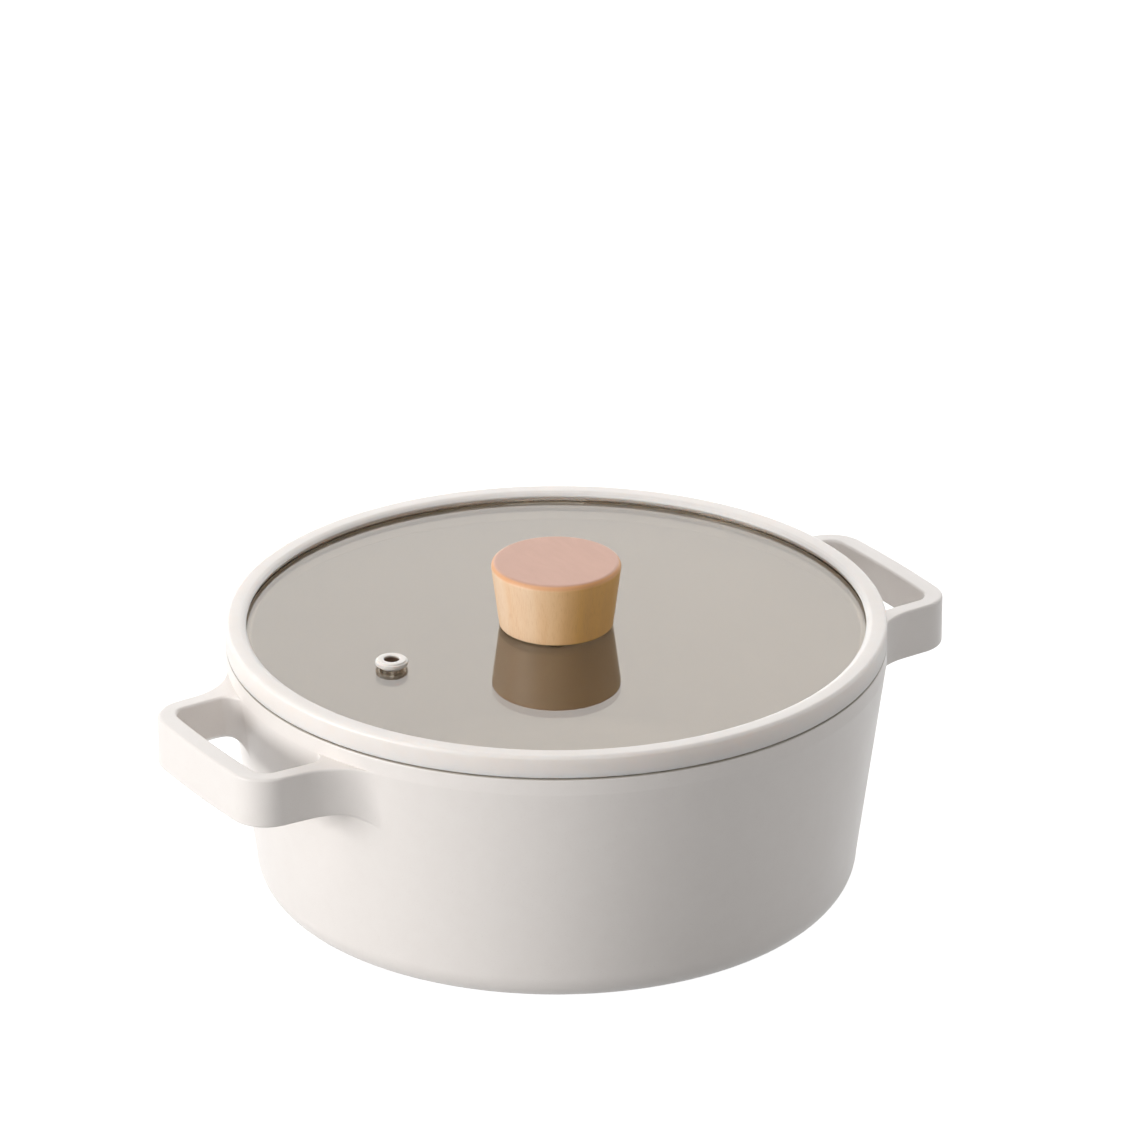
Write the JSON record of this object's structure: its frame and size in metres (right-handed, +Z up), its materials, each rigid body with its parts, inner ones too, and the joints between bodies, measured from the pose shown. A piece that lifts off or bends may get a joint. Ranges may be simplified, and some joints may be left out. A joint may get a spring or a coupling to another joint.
{
  "type": "saucepan with glass lid",
  "caption": "Low round ivory saucepan with cast loop handles and a flat glass lid that has a silicone rim, a steam vent and a tapered wooden knob.",
  "frame": {"origin": "centre of the foot ring, in the plane that the pan stands on", "axes": "+Z up along the pan's axis; the two handles lie on the X axis; the lid's steam vent is on the -X side"},
  "size_m": [0.3174, 0.252, 0.1308],
  "materials": {
    "ivory_ceramic_coat": "satin ivory ceramic coat over die-cast aluminium",
    "ivory_silicone": "smooth matt silicone",
    "white_silicone": "smooth silicone",
    "lid_glass": "polished tempered glass",
    "beech": "fine straight grain, satin lacquer",
    "grey_silicone": "matt silicone",
    "stainless_steel": "fine turned or brushed stainless steel",
    "brass": "plain turned brass"
  },
  "bodies": {
    "pot": {"pot_casting": "ivory_ceramic_coat", "induction_base_plate": "stainless_steel"},
    "lid_rim": {"lid_silicone_rim": "ivory_silicone"},
    "lid": {"lid_glass": "lid_glass", "steam_vent_grommet": "white_silicone", "knob_wood": "beech", "knob_seat_washer": "grey_silicone", "knob_threaded_insert": "brass", "under_glass_gasket": "grey_silicone", "screw_washer": "stainless_steel", "spring_lock_washer": "stainless_steel", "knob_screw": "stainless_steel"}
  },
  "joints": [
    {"name": "lid_lift", "type": "slide", "parent": "pot", "child": "lid_rim", "axis": [0, 0, 1], "range_m": [0, 0.12]},
    {"name": "lid_turn", "type": "hinge", "parent": "lid_rim", "child": "lid", "pos_m": [0, 0, 0.1], "axis": [0, 0, 1], "continuous": true}
  ]
}
